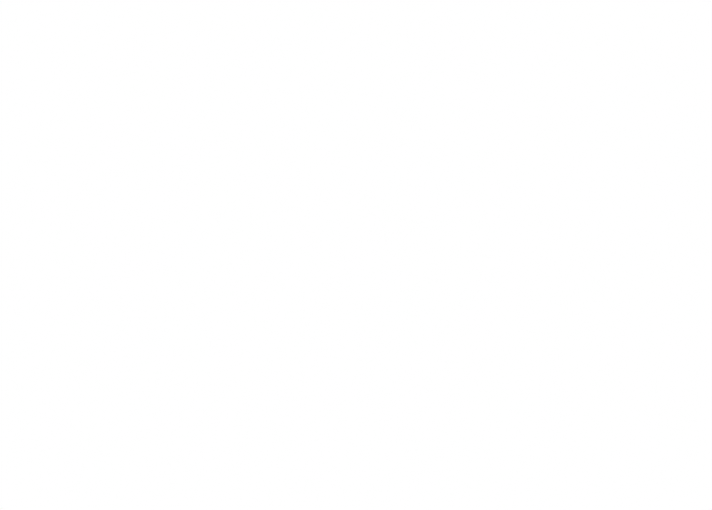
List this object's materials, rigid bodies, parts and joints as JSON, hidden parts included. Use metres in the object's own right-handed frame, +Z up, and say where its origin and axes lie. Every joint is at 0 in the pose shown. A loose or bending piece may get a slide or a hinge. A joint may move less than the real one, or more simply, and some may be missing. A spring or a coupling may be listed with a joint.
{
  "type": "mesh strainer",
  "caption": "Small kitchen strainer: domed double wire-mesh bowl in a sloped rolled rim, long looped wire handle and a short rest hook opposite it.",
  "frame": {"origin": "on the table, midway along and across the strainer's bounding box; it lies mouth down, on the handle's tip and the far side of the rim", "axes": "+Z up from the table; +X from the handle's tip towards the rest hook; +Y to the left of that. The bowl's own axis leans 8.1 degrees from +Z towards +X."},
  "size_m": [0.2044, 0.087, 0.052],
  "materials": {
    "brim_steel": "spun and brushed stainless sheet with brown heat tint at the welds",
    "collar_steel": "plain stainless sheet, dull",
    "coarse_cloth": "woven bright stainless wire",
    "fine_cloth": "woven fine stainless wire",
    "drawn_wire": "bright drawn stainless wire, polished"
  },
  "bodies": {
    "root": {"rim_flange": "brim_steel", "clamp_collar": "collar_steel", "coarse_mesh_bowl": "coarse_cloth", "fine_mesh_lining": "fine_cloth", "handle_wire": "drawn_wire", "hook_wire": "drawn_wire"}
  },
  "joints": []
}
